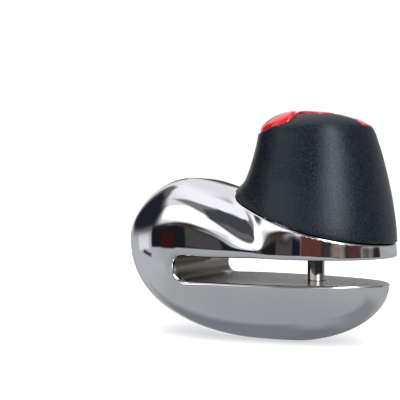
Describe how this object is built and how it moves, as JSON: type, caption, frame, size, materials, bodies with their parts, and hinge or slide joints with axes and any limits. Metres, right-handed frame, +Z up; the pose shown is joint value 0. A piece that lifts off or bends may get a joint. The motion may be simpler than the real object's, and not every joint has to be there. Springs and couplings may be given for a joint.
{
  "type": "motorcycle disc brake lock",
  "caption": "Chrome C-shaped disc lock whose black knob slides down to drive a steel pin across the brake disc slot; a key plug latches it.",
  "frame": {"origin": "middle of the object's footprint, on the surface it stands on", "axes": "+X out of the mouth of the disc slot, +Y across the body, +Z up along the locking pin towards the key side of the knob"},
  "size_m": [0.0924, 0.0514, 0.0743],
  "materials": {
    "body_chrome": "mirror-polished chrome plate over a zinc casting",
    "bush_steel": "turned steel",
    "sleeve_bronze": "sintered bearing bronze",
    "seal_rubber": "soft black rubber",
    "black_oxide": "black oxide steel",
    "spring_steel": "drawn spring wire",
    "knob_black": "fine spark-textured black plastic",
    "cap_black": "satin black plastic",
    "accent_red": "glossy red plastic",
    "dowel_steel": "ground steel",
    "barrel_zinc": "cast zinc, machined",
    "pin_steel": "ground and polished hardened steel",
    "plug_nickel": "nickel-plated brass",
    "cam_steel": "sintered steel",
    "bolt_steel": "milled steel",
    "wafer_brass": "stamped brass"
  },
  "bodies": {
    "body": {"body_casting": "body_chrome", "pin_socket_bush": "bush_steel", "guide_sleeve": "sleeve_bronze", "wiper_seal": "seal_rubber", "travel_stop_screw": "black_oxide", "return_spring": "spring_steel"},
    "knob": {"knob_shell": "knob_black", "knob_cap": "cap_black", "accent_hood": "accent_red", "accent_tip": "accent_red", "cover_hinge_pin": "dowel_steel", "knob_screw_1": "black_oxide", "knob_screw_2": "black_oxide", "knob_screw_3": "black_oxide", "lock_barrel": "barrel_zinc", "locking_pin": "pin_steel", "pin_retaining_dowel": "dowel_steel", "plug_retaining_pin": "dowel_steel"},
    "cover": {"keyhole_cover": "accent_red"},
    "plug": {"key_plug": "plug_nickel", "bolt_cam": "cam_steel"},
    "bolt": {"locking_bolt": "bolt_steel"},
    "wafer_body_1": {"wafer_1": "wafer_brass"},
    "wafer_body_2": {"wafer_2": "wafer_brass"},
    "wafer_body_3": {"wafer_3": "wafer_brass"},
    "wafer_body_4": {"wafer_4": "wafer_brass"},
    "wafer_body_5": {"wafer_5": "wafer_brass"}
  },
  "joints": [
    {"name": "knob_slide", "type": "slide", "parent": "body", "child": "knob", "axis": [0, 0, 1], "range_m": [0, 0.0145], "deforming": ["return_spring"]},
    {"name": "cover_flip", "type": "hinge", "parent": "knob", "child": "cover", "pos_m": [0.01347, 0, 0.073], "axis": [0, -1, 0], "range_deg": [0, 95]},
    {"name": "plug_turn", "type": "hinge", "parent": "knob", "child": "plug", "pos_m": [0.02047, 0, 0.062], "axis": [0, 0, 1], "range_deg": [-90, 0]},
    {"name": "bolt_slide", "type": "slide", "parent": "knob", "child": "bolt", "axis": [1, 0, 0], "range_m": [0, 0.00201]},
    {"name": "wafer_slide_1", "type": "slide", "parent": "plug", "child": "wafer_body_1", "axis": [0, 1, 0], "range_m": [0, 0.0009]},
    {"name": "wafer_slide_2", "type": "slide", "parent": "plug", "child": "wafer_body_2", "axis": [0, -1, 0], "range_m": [0, 0.0009]},
    {"name": "wafer_slide_3", "type": "slide", "parent": "plug", "child": "wafer_body_3", "axis": [0, 1, 0], "range_m": [0, 0.0009]},
    {"name": "wafer_slide_4", "type": "slide", "parent": "plug", "child": "wafer_body_4", "axis": [0, -1, 0], "range_m": [0, 0.0009]},
    {"name": "wafer_slide_5", "type": "slide", "parent": "plug", "child": "wafer_body_5", "axis": [0, 1, 0], "range_m": [0, 0.0009]}
  ],
  "couplings": [
    {"joint": "bolt_slide", "follows": "plug_turn", "m_per_rad": -0.001273}
  ]
}
